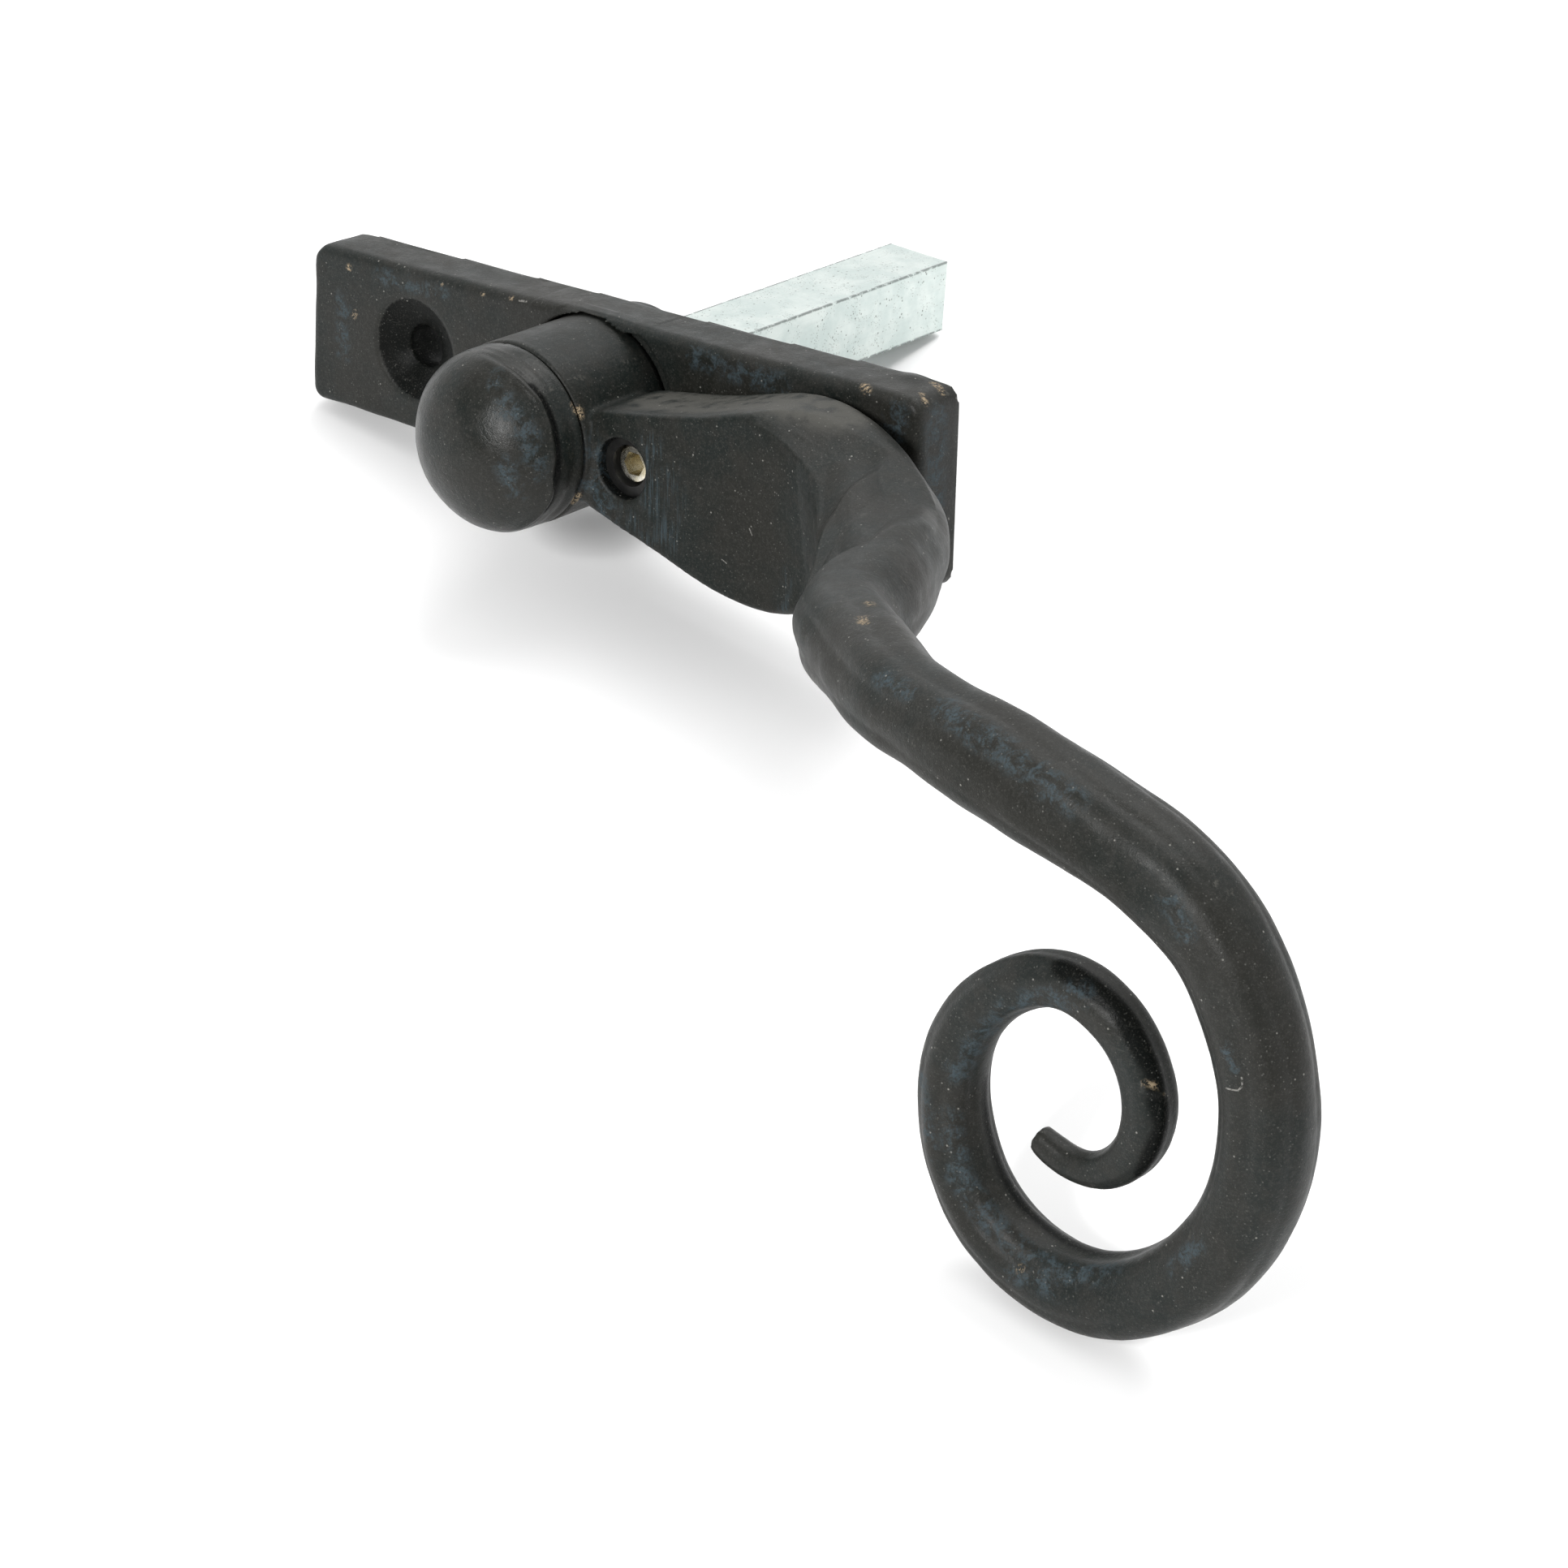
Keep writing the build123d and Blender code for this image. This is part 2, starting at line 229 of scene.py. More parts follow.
# filed blade: bring the rounded top-front and bottom-front corners out to a crisp edge
inb = ramp(co[:, 0], 8.6, 9.6) * (1 - ramp(co[:, 0], 26.0, 28.5)) * (co[:, 1] < -12.0)
d1 = co[:, 1] + 14.2
d2 = (5.24 + 0.194 * (co[:, 0] - 16.0) - co[:, 2]) * 0.98
sel = inb * (d1 > 0) * (d2 > -0.2) * (d1 < 1.3) * (d2 < 1.3)
co[:, 1] -= np.where(d1 <= d2, 0.85 * d1 * sel, 0.0)
co[:, 2] += np.where(d1 > d2, 0.85 * np.maximum(d2, 0) * sel, 0.0)


def shave(co, point, normal, inside, soft=0.12):
    """Takes off whatever stands proud of a plane, as one blow of a hammer flattens a bar."""
    q = np.array(normal, float)
    q /= np.linalg.norm(q)
    h = (co - np.array(point, float)) @ q
    cut_ = np.where(h > 0, h, 0.0) * inside
    return co - q * np.minimum(cut_, 0.9)[:, None]


where = ramp(co[:, 0], 25.5, 26.5) * (1 - ramp(co[:, 0], 37.0, 40.0)) * (co[:, 2] > 2.0)
co = shave(co, (26.4, -14.15, 7.25), (0.20, -0.42, 0.885), where)
where = ramp(co[:, 0], 33.0, 35.0) * (1 - ramp(co[:, 0], 43.0, 48.0)) * (co[:, 2] > 2.0)
co = shave(co, (38.0, -12.5, 6.25), (0.26, -0.05, 0.96), where)
co = shave(co, (39.5, -18.5, 5.35), (-0.34, -0.50, 0.80), where)
where = (1 - ramp(co[:, 0], 31.0, 33.0)) * ramp(co[:, 0], 18.0, 20.0) * (co[:, 1] < -12.0)
co = shave(co, (24.5, -14.2, -9.55), (0.05, -0.62, -0.78), where)
co = smooth(co, edges, 1, keep=0.75 * machined)
put(lever, co * MM)
no = normals_of(lever.data)

fine = resample(ARM)
pts, rad = fine[:, :3], fine[:, 3]
tan = np.gradient(pts, axis=0)
tan /= np.linalg.norm(tan, axis=1)[:, None]
length = np.r_[0, np.cumsum(np.linalg.norm(np.diff(pts, axis=0), axis=1))]
from mathutils.kdtree import KDTree
tree = KDTree(len(pts))
for i, p in enumerate(pts):
    tree.insert(Vector(p), i)
tree.balance()
near = np.array([tree.find(Vector(p))[1] for p in co])
side = np.array([0, 1.0, 0]) - tan * tan[:, 1:2]
side /= np.linalg.norm(side, axis=1)[:, None]
upv = np.cross(tan, side)
rel = co - pts[near]
theta = np.arctan2((rel * upv[near]).sum(1), (rel * side[near]).sum(1))
s_at = length[near]
on_arm = ramp(co[:, 0], 33.0, 42.0)
thin = rad[near] / 3.6

broad = fbm(co, 11.0, 1)
mid = fbm(co, 4.2, 2)
small = fbm(co, 1.7, 3)
# soft hammered facets that run along the bar and drift round it
facets = np.abs(np.sin(theta * 3.5 + 0.9 * np.sin(s_at * 0.045) + 0.5 * broad)) - 0.64
along = fbm(co, 7.5, 5)
push = on_arm * thin * (0.20 * facets * (0.6 + 0.8 * (along + 0.5)) + 0.05 * along + 0.09 * mid + 0.06 * broad)
push += (1 - on_arm) * (1 - machined) * (0.045 * broad + 0.03 * mid)
push += (1 - machined) * 0.016 * small
push = push - np.mean(push[on_arm > 0.9]) * on_arm
co = co + no * push[:, None]

# blade: a flat filed front with a raised, hammered shoulder where the bar leaves it
front = (co[:, 1] < -13.0) & (co[:, 0] > 8.3) & (co[:, 0] < 42)
# crease line on the front, from the top edge round to the lower edge
crease = [(26.4, -14.25, 7.6), (29.2, -14.3, 5.9), (31.8, -14.4, 3.7), (33.6, -14.6, 1.2),
          (34.0, -14.8, -1.2), (33.2, -14.8, -3.8), (32.2, -14.7, -6.2), (31.3, -14.4, -8.6)]
for a, b in zip(crease[:-1], crease[1:]):
    co = groove(co, no, a, b, 0.50, 0.17)
# flash mark across the inner coil
co = groove(co, no, (93.05, -51.3, -16.0), (94.5, -50.2, -16.5), 0.24, -0.26)
co = groove(co, no, (93.0, -51.3, -16.6), (94.5, -50.2, -17.1), 0.30, 0.12)
co = groove(co, no, (93.6, -50.9, -17.2), (93.9, -50.5, -19.0), 0.28, 0.07)
# dents
for c, r, d in (((101.6, -52.8, -14.2), 1.6, 0.10), ((99.8, -52.6, -26.6), 1.5, 0.12), ((96.9, -52.4, -30.6), 1.2, 0.12),
                ((91.0, -52.3, -37.0), 1.2, 0.10), ((79.5, -51.5, -36.0), 1.3, 0.10), ((75.3, -51.6, -31.0), 1.4, 0.08),
                ((60.5, -46.0, 4.5), 2.0, 0.14), ((69.0, -50.0, 2.0), 2.2, 0.12), ((79.0, -52.2, 1.5), 2.4, 0.10),
                ((46.5, -25.0, 4.6), 2.0, 0.12), ((90.5, -52.8, 3.4), 1.8, 0.10)):
    f = np.exp(-(np.linalg.norm(co - np.array(c), axis=1) / r) ** 2)
    co = co - no * (d * f)[:, None]
co = smooth(co, edges, 1, keep=machined)
put(lever, co * MM)
shade_smooth(lever)

# ----------------------------------------------------------------- back plate
plate = solid_copy(["backplate"], "backplate_forged", (0.18) * MM, hub_lip)
edges = edge_array(plate.data)
co = coords(plate.data) / MM
r_hub = np.hypot(co[:, 0], co[:, 2])
r_fix = np.minimum(np.hypot(co[:, 0] + 21.5, co[:, 2]), np.hypot(co[:, 0] - 21.5, co[:, 2]))
r_lock = np.hypot(co[:, 0] - 11.5, co[:, 2] + 0.7)
flat_back = (co[:, 1] > -0.35) * 1.0
cut = np.clip((r_hub < 10.8) * 1.0 + (r_fix < 5.3) * 1.0 + (r_lock < 2.5) * 1.0 + flat_back, 0, 1)
co = smooth(co, edges, 3, keep=0.7 * cut)
co = smooth(co, edges, 16, keep=cut)
put(plate, co * MM)
no = normals_of(plate.data)
rim = np.clip(ramp(np.abs(co[:, 2]), 6.4, 7.8) + ramp(np.abs(co[:, 0] - 0.8), 34.2, 35.6), 0, 1)
wave = fbm(co, 9.0, 11)
wave2 = fbm(co, 3.6, 12)
tiny = fbm(co, 1.4, 13)
push = (1 - cut) * (rim * (0.11 * wave + 0.09 * wave2) + (1 - rim) * (0.05 * wave + 0.02 * wave2) + 0.012 * tiny)
co = co + no * push[:, None]
# the countersinks are worn a little wider than drilled, and the left one sits slightly high
for cx in (-21.5, 21.5):
    dx, dz = co[:, 0] - cx, co[:, 2]
    rh = np.maximum(np.hypot(dx, dz), 1e-6)
    wide = 0.36 * np.exp(-((rh - 4.75) / 1.1) ** 2) * ramp(-co[:, 1], 3.6, 5.0)
    co[:, 0] += dx / rh * wide
    co[:, 2] += dz / rh * wide
    if cx < 0:
        g = (1 - ramp(rh, 5.3, 7.4)) * ramp(-co[:, 1], 0.5, 3.0)
        co[:, 0] -= 0.20 * g
        co[:, 2] += 0.32 * g
# the small burr near the right-hand end of the top edge, and a worn top-left corner
f = np.exp(-(((co[:, 0] - 32.6) / 1.5) ** 2 + ((co[:, 1] + 0.9) / 1.0) ** 2 + ((co[:, 2] - 9.1) / 0.8) ** 2))
co[:, 2] += 0.30 * f
f = np.exp(-(((co[:, 0] + 35.2) / 1.7) ** 2 + ((co[:, 2] - 8.0) / 1.4) ** 2))
co[:, 0] += 0.45 * f
co[:, 2] -= 0.30 * f
f = np.exp(-(((co[:, 0] - 36.9) / 1.2) ** 2 + ((co[:, 2] - 9.1) / 1.0) ** 2))
co[:, 0] -= 0.15 * f
co[:, 2] -= 0.10 * f
put(plate, co * MM)
shade_smooth(plate)

# ------------------------------------------------------------------ dome cap
dome = solid_copy(["dome_cap"], "dome_cap_forged", (0.15) * MM)
edges = edge_array(dome.data)
co = coords(dome.data) / MM
inner = (co[:, 1] > -15.3) * 1.0
# the forged cap has no turned groove, only an uneven rolled lip: fill the groove first
rr = np.hypot(co[:, 0], co[:, 2])
y_ = co[:, 1]
target = np.where(y_ > -17.6, 8.2 - (-17.15 - y_) * 0.13, 8.14 * np.sqrt(np.clip(1 - ((y_ + 17.6) / 5.6) ** 2, 0, 1)))
band = (y_ < -16.9) & (y_ > -18.3) & (rr > 6.5)
k_ = np.where(band, np.maximum(target / np.maximum(rr, 1e-6), 1.0), 1.0)
co[:, 0] *= k_
co[:, 2] *= k_
co = smooth(co, edges, 16, keep=inner)
put(dome, co * MM)
no = normals_of(dome.data)
ang = np.arctan2(co[:, 2], co[:, 0])                     # 0 = +X, pi/2 = +Z
rr = np.hypot(co[:, 0], co[:, 2])
w1 = fbm(co, 7.0, 21)
w2 = fbm(co, 2.6, 22)
push = (1 - inner) * (0.10 * w1 + 0.035 * w2)
# rolled lip: an uneven step round the side that faces the blade
y_line = -18.45 + 0.22 * np.sin(ang * 2.3 + 0.8) + 0.25 * w2 - 0.10 * np.cos(ang * 5.0)
strength = ramp(ang, -1.25, -0.75) * (1 - ramp(ang, 1.15, 1.75))
d = co[:, 1] - y_line
deep = 0.45 + 0.55 * ramp(ang, -0.9, -0.2) * (1 - ramp(ang, 0.35, 1.0)) + 0.5 * w2
push -= (1 - inner) * strength * deep * 0.50 * np.exp(-((d - 0.12) / 0.28) ** 2)
push -= (1 - inner) * strength * 0.24 * ramp(d, -0.1, 0.5) * (1 - ramp(d, 1.8, 2.9))
push += (1 - inner) * strength * (0.24 + 0.2 * w2) * np.exp(-((d + 0.42) / 0.38) ** 2)
co = co + no * push[:, None]
f = np.exp(-(np.linalg.norm(co - np.array((-1.5, -22.9, 2.2)), axis=1) / 2.4) ** 2)
co = co - no * (0.16 * f)[:, None]
co = smooth(co, edges, 1, keep=inner)
put(dome, co * MM)
shade_smooth(dome)

for obj, node in ((lever, "lever"), (dome, "dome_cap")):
    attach(obj, "lever")
    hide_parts(node)
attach(plate, "base")
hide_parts("backplate")


# ================================================================== materials
class Mat:
    """A small helper that adds shader nodes; positions are in millimetres."""

    def __init__(self, name):
        self.m = bpy.data.materials.new(name)
        self.m.use_nodes = True
        self.nt = self.m.node_tree
        self.bsdf = self.nt.nodes["Principled BSDF"]
        tc = self.add("ShaderNodeTexCoord")
        self.mm = self.vec("SCALE", tc.outputs["Object"], scale=1000.0)

    def add(self, kind, **kw):
        n = self.nt.nodes.new(kind)
        for k, v in kw.items():
            setattr(n, k, v)
        return n

    def plug(self, sock, v):
        if isinstance(v, bpy.types.NodeSocket):
            self.nt.links.new(v, sock)
        else:
            sock.default_value = v

    def vec(self, op, a, b=None, scale=None):
        n = self.add("ShaderNodeVectorMath", operation=op)
        self.plug(n.inputs[0], a)
        if b is not None:
            self.plug(n.inputs[1], b)
        if scale is not None:
            self.plug(n.inputs["Scale"], scale)
        return n.outputs["Value"] if op in ("DOT_PRODUCT", "DISTANCE", "LENGTH") else n.outputs["Vector"]

    def math(self, op, a, b=None, c=None, clamp=False):
        n = self.add("ShaderNodeMath", operation=op, use_clamp=clamp)
        for i, v in enumerate((a, b, c)):
            if v is not None:
                self.plug(n.inputs[i], v)
        return n.outputs[0]

    def rng(self, v, a, b, c=0.0, d=1.0, smooth_=True):
        n = self.add("ShaderNodeMapRange", interpolation_type="SMOOTHSTEP" if smooth_ else "LINEAR")
        self.plug(n.inputs["Value"], v)
        for k, x in zip(("From Min", "From Max", "To Min", "To Max"), (a, b, c, d)):
            n.inputs[k].default_value = x
        return n.outputs["Result"]

    def noise(self, scale, detail=3.0, rough=0.55, vec=None, stretch=None, off=0.0, distort=0.0):
        v = self.mm if vec is None else vec
        if stretch is not None:
            v = self.vec("MULTIPLY", v, stretch)
        if off:
            v = self.vec("ADD", v, (off, off * 0.7, -off * 1.3))
        n = self.add("ShaderNodeTexNoise")
        self.plug(n.inputs["Vector"], v)
        n.inputs["Scale"].default_value = scale
        n.inputs["Detail"].default_value = detail
        n.inputs["Roughness"].default_value = rough
        n.inputs["Distortion"].default_value = distort
        return n.outputs["Fac"]

    def voronoi(self, scale, off=0.0, rand=1.0):
        v = self.vec("ADD", self.mm, (off, -off, off * 0.5)) if off else self.mm
        n = self.add("ShaderNodeTexVoronoi")
        self.plug(n.inputs["Vector"], v)
        n.inputs["Scale"].default_value = scale
        n.inputs["Randomness"].default_value = rand
        return n

    def mix(self, f, a, b):
        n = self.add("ShaderNodeMix", data_type="RGBA")
        self.plug(n.inputs["Factor"], f)
        self.plug(n.inputs["A"], a)
        self.plug(n.inputs["B"], b)
        return n.outputs["Result"]

    def mixf(self, f, a, b):
        n = self.add("ShaderNodeMix", data_type="FLOAT")
        self.plug(n.inputs["Factor"], f)
        self.plug(n.inputs["A"], a)
        self.plug(n.inputs["B"], b)
        return n.outputs["Result"]

    def seg(self, a, b):
        """Distance in mm to the segment a-b."""
        a, b = Vector(a), Vector(b)
        ba = b - a
        pa = self.vec("SUBTRACT", self.mm, tuple(a))
        h = self.math("DIVIDE", self.vec("DOT_PRODUCT", pa, tuple(ba)), ba.length_squared, clamp=True)
        q = self.vec("SCALE", tuple(ba), scale=h)
        return self.vec("LENGTH", self.vec("SUBTRACT", pa, q))

    def near(self, pts, r, soft=0.35):
        """1 near a point or along a line of points, falling to 0 at distance r."""
        if len(pts) == 1:
            d = self.vec("DISTANCE", self.mm, tuple(pts[0]))
            return self.rng(d, r * soft, r, 1.0, 0.0)
        out = None
        for a, b in zip(pts[:-1], pts[1:]):
            d = self.seg(a, b)
            out = d if out is None else self.math("MINIMUM", out, d)
        return self.rng(out, r * soft, r, 1.0, 0.0)

    def any(self, items):
        out = items[0]
        for i in items[1:]:
            out = self.math("MAXIMUM", out, i)
        return out

    def bump(self, height, strength, dist, normal=None):
        n = self.add("ShaderNodeBump")
        self.plug(n.inputs["Height"], height)
        n.inputs["Strength"].default_value = strength
        n.inputs["Distance"].default_value = dist
        if normal is not None:
            self.plug(n.inputs["Normal"], normal)
        return n.outputs["Normal"]


def mask_on(co_mm, items, soft):
    """Per-vertex mask: 1 near any of the lines of points, falling to 0 at its radius."""
    out = np.zeros(len(co_mm))
    for pts_, r in items:
        if len(pts_) == 1:
            d_ = np.linalg.norm(co_mm - np.array(pts_[0]), axis=1)
        else:
            d_ = np.full(len(co_mm), 1e9)
            for a_, b_ in zip(pts_[:-1], pts_[1:]):
                a_, b_ = np.array(a_, float), np.array(b_, float)
                ba = b_ - a_
                t_ = np.clip(((co_mm - a_) @ ba) / (ba @ ba), 0, 1)
                d_ = np.minimum(d_, np.linalg.norm(co_mm - (a_ + t_[:, None] * ba), axis=1))
        out = np.maximum(out, 1 - ramp(d_, r * soft, r))
    return out


def paint(obj, film, streaks, residue, lit, painted_shade, shade):
    """Stores where the wax is thin, streaked or tan, and where light and shade are painted, as two colour attributes.
    """
    c_ = coords(obj.data) / MM
    n_ = len(c_)
    one = np.stack([mask_on(c_, film, 0.25), mask_on(c_, streaks, 0.2), mask_on(c_, residue, 0.35), np.ones(n_)], 1)
    two = np.stack([mask_on(c_, lit, 0.55), painted_shade(c_) if callable(painted_shade) else mask_on(c_, painted_shade, 0.55), shade(c_) if callable(shade) else mask_on(c_, shade, 0.0), np.ones(n_)], 1)
    for name_, arr in (("wax_a", one), ("painted_light_shade", two)):
        at = obj.data.attributes.new(name_, "FLOAT_COLOR", "POINT")
        at.data.foreach_set("color", arr.astype(np.float32).ravel())


def waxed(name, seed, obj, film=(), streaks=(), residue=(), scratches=(), lit=(), painted_shade=(), shade=(), gloss=0.0):
    """Blackened iron under beeswax. film, streaks: bluish wax haze; residue: tan wax; lists of (points, radius)."""
    paint(obj, film, streaks, residue, lit, painted_shade, shade)
    m = Mat(name)
    parts_ = []
    for name_ in ("wax_a", "painted_light_shade"):
        at = m.add("ShaderNodeAttribute", attribute_name=name_)
        sep = m.add("ShaderNodeSeparateColor")
        m.plug(sep.inputs[0], at.outputs["Color"])
        parts_ += [sep.outputs[0], sep.outputs[1], sep.outputs[2]]
    m_film, m_streak, m_residue, m_lit, m_painted_shade, m_shade = parts_
    big = m.noise(0.11, 4.0, 0.55, off=seed)
    med = m.noise(0.55, 5.0, 0.6, off=seed + 3)
    fine_ = m.noise(3.2, 4.0, 0.6, off=seed + 5)
    grain = m.noise(11.0, 2.0, 0.5, off=seed + 7)
    tone = m.rng(big, 0.36, 0.64)
    col = m.mix(tone, (0.0120, 0.0120, 0.0098, 1), (0.0066, 0.0096, 0.0086, 1))
    col = m.mix(m.math("MULTIPLY", m.rng(med, 0.42, 0.70), 0.60), col, (0.0190, 0.0185, 0.0160, 1))
    col = m.mix(m.math("MULTIPLY", m.rng(fine_, 0.48, 0.70), 0.45), col, (0.0300, 0.0295, 0.0265, 1))
    # thin grey bloom of dry wax everywhere, patchy
    bloom = m.math("MULTIPLY", m.rng(m.noise(0.23, 5.0, 0.65, off=seed + 11, distort=0.4), 0.50, 0.78), m.rng(grain, 0.35, 0.7))
    col = m.mix(m.math("MULTIPLY", bloom, 0.50), col, (0.040, 0.043, 0.041, 1))
    rough = m.mixf(m.rng(med, 0.3, 0.7), 0.40 - gloss, 0.52 - gloss)
    rough = m.mixf(bloom, rough, 0.62 - gloss)
    # painted light: lighter colour on the upper faces; painted shade: near-black colour in the hollows and recesses
    if lit:
        f = m.math("MULTIPLY", m_lit, m.rng(med, 0.30, 0.55))
        col = m.mix(m.math("MULTIPLY", f, 0.9), col, (0.058, 0.057, 0.050, 1))
        rough = m.mixf(f, rough, 0.58)
    if painted_shade:
        f = m_painted_shade
        col = m.mix(m.math("MULTIPLY", f, 0.85), col, (0.0030, 0.0036, 0.0034, 1))
        rough = m.mixf(f, rough, 0.34)
    # bluish film where the wax was rubbed thin
    if film:
        mask = m_film
        patch = m.math("MULTIPLY", m.rng(m.noise(0.85, 6.0, 0.66, off=seed + 13, distort=0.6), 0.43, 0.60),
                       m.rng(m.noise(4.2, 4.0, 0.7, off=seed + 17), 0.30, 0.62))
        f = m.math("MULTIPLY", mask, patch)
        col = m.mix(m.math("MULTIPLY", f, 0.85), col, (0.040, 0.058, 0.068, 1))
        rough = m.mixf(f, rough, 0.66)
    if streaks:
        mask = m_streak
        st = m.math("MULTIPLY", m.rng(m.noise(1.0, 4.0, 0.6, stretch=(5.5, 1.0, 0.35), off=seed + 19), 0.44, 0.66),
                    m.rng(m.noise(0.5, 4.0, 0.6, off=seed + 23), 0.30, 0.62))
        f = m.math("MULTIPLY", mask, st)
        col = m.mix(m.math("MULTIPLY", f, 0.85), col, (0.036, 0.051, 0.059, 1))
        rough = m.mixf(f, rough, 0.60)
    # light specks of dust and dry wax
    vo = m.voronoi(1.15, off=seed)
    dots = m.math("MULTIPLY", m.rng(vo.outputs["Distance"], 0.05, 0.125, 1.0, 0.0),
                  m.rng(m.noise(0.7, 2.0, 0.5, off=seed + 29), 0.50, 0.60))
    vo2 = m.voronoi(2.6, off=seed + 31)
    dots2 = m.math("MULTIPLY", m.rng(vo2.outputs["Distance"], 0.08, 0.22, 1.0, 0.0),
                   m.rng(m.noise(0.9, 3.0, 0.6, off=seed + 37), 0.44, 0.58))
    hair = m.noise(1.0, 3.0, 0.6, stretch=(0.9, 0.9, 7.0), off=seed + 51, distort=0.8)
    hair2 = m.noise(1.0, 3.0, 0.6, stretch=(7.0, 0.9, 0.9), off=seed + 53, distort=0.8)
    hairs = m.math("MAXIMUM", m.rng(hair, 0.60, 0.72), m.rng(hair2, 0.62, 0.74))
    hairs = m.math("MULTIPLY", hairs, m.rng(m.noise(0.35, 3.0, 0.6, off=seed + 57), 0.46, 0.62))
    col = m.mix(m.math("MULTIPLY", hairs, 0.45), col, (0.045, 0.045, 0.040, 1))
    peppr = m.rng(m.noise(7.0, 2.0, 0.7, off=seed + 59), 0.54, 0.74)
    col = m.mix(m.math("MULTIPLY", peppr, 0.55), col, (0.050, 0.049, 0.044, 1))
    col = m.mix(m.math("MULTIPLY", dots, 0.75), col, (0.230, 0.225, 0.205, 1))
    col = m.mix(m.math("MULTIPLY", dots2, 0.45), col, (0.130, 0.130, 0.120, 1))
    for p, r in scratches:
        f = m.math("MULTIPLY", m.near(p, r, 0.3), m.rng(m.noise(5.0, 3.0, 0.6, off=seed + 41), 0.36, 0.52))
        col = m.mix(m.math("MULTIPLY", f, 0.8), col, (0.210, 0.205, 0.190, 1))
    # lighter convex edges: partly edge wear, partly a painted highlight where the edges catch the light
    geo = m.add("ShaderNodeNewGeometry")
    edge_wear_and_glint = m.math("MULTIPLY", m.rng(geo.outputs["Pointiness"], 0.53, 0.62), m.rng(fine_, 0.42, 0.62))
    col = m.mix(m.math("MULTIPLY", edge_wear_and_glint, 0.6), col, (0.060, 0.058, 0.050, 1))
    h_extra = None
    if residue:
        mask = m_residue
        f = m.math("MULTIPLY", mask, m.rng(m.noise(3.6, 4.0, 0.7, off=seed + 43), 0.46, 0.56))
        col = m.mix(m.math("MULTIPLY", f, 0.9), col, (0.330, 0.255, 0.165, 1))
        rough = m.mixf(f, rough, 0.55)
        h_extra = f
    m.plug(m.bsdf.inputs["Base Color"], col)
    m.plug(m.bsdf.inputs["Roughness"], rough)
    m.plug(m.bsdf.inputs["Specular IOR Level"], m.mixf(m.math("MULTIPLY", m_shade, 0.8), m.mixf(m_painted_shade, 0.205, 0.05), 0.05))
    h = m.math("ADD", m.math("MULTIPLY", med, 0.9), m.math("MULTIPLY", fine_, 0.35))
    h = m.math("ADD", h, m.math("MULTIPLY", grain, 0.22))
    if h_extra is not None:
        h = m.math("ADD", h, m.math("MULTIPLY", h_extra, 0.9))
    nb = m.bump(h, 0.55, 0.13 * MM)
    m.plug(m.bsdf.inputs["Normal"], nb)
    return m.m


LEVER_FILM = [
    ([(73.7, -49.8, 6.9), (77.2, -51.1, 6.5), (80.5, -51.8, 6.1), (84.6, -52.4, 5.1), (86.7, -52.5, 4.6)], 1.7),
    ([(95.4, -53.0, -0.1), (96.9, -53.0, -2.0)], 1.3),
    ([(87.5, -51.4, -10.6), (81.9, -51.3, -13.5), (78.7, -51.1, -17.7), (77.4, -51.6, -20.3)], 1.5),
    ([(77.0, -51.8, -24.4), (78.1, -52.0, -28.6), (80.7, -51.8, -31.2), (84.1, -51.8, -32.9), (87.7, -51.8, -33.1), (91.5, -51.3, -31.5)], 1.5),
    ([(75.7, -52.1, -27.5), (74.4, -51.6, -22.0)], 1.0),
    ([(83.5, -52.4, -34.6), (87.5, -52.4, -34.3)], 1.2),
    ([(100.6, -52.8, -9.4), (101.5, -52.8, -10.8)], 0.7),
    ([(99.5, -52.7, -25.5), (97.6, -52.5, -28.2)], 1.1),
    ([(66.4, -47.9, 6.3), (70.0, -49.0, 6.6)], 1.2),
    ([(8.3, -14.2, -0.1), (7.8, -14.2, -3.3), (9.6, -14.2, -5.2)], 2.3)]
LEVER_STREAKS = [
    ([(14.8, -14.2, 2.0), (15.2, -14.2, -3.0)], 2.3), ([(16.8, -14.2, 0.0), (17.0, -14.2, -5.5)], 2.6),
    ([(11.5, -14.2, -5.0), (14.5, -14.2, -6.5)], 1.8), ([(30.6, -14.5, -5.2), (29.8, -14.4, -8.4)], 1.0),
    ([(8.0, -14.2, 2.4), (8.4, -14.2, 0.0)], 1.2)]
# Painted light: lighter colour along the blade's top and the scroll's lowest curve.
LEVER_LIT = [([(12.0, -9.6, 6.0), (16.0, -9.8, 6.8), (27.0, -9.8, 9.2), (31.0, -9.0, 9.4)], 4.6),
             ([(84.0, -50.0, -39.0), (92.0, -50.0, -39.0)], 2.6)]
LEVER_SHADE = [([(7.2, -5.0, 4.2), (7.2, -14.0, 4.2)], 5.2),
               ([(54.0, -40.5, 3.5), (62.0, -47.0, 2.5), (70.0, -50.5, 2.4), (77.0, -52.2, 2.2), (84.0, -53.0, 1.2), (91.0, -53.0, -1.0)], 4.6)]
# Painted shade: near-black colour on the inner faces of the scroll's coils.
LEVER_PAINTED_SHADE = [
              ([(85.4, -50.8, -9.2), (90.4, -50.8, -10.6), (93.9, -50.8, -14.6), (94.9, -50.6, -19.0), (93.4, -50.6, -23.6)], 1.2),
              ([(78.3, -48.6, -22.0), (78.6, -48.6, -26.5), (80.6, -48.6, -30.4), (84.7, -48.6, -32.2), (89.3, -48.6, -32.1), (93.0, -48.6, -30.2)], 1.25)]
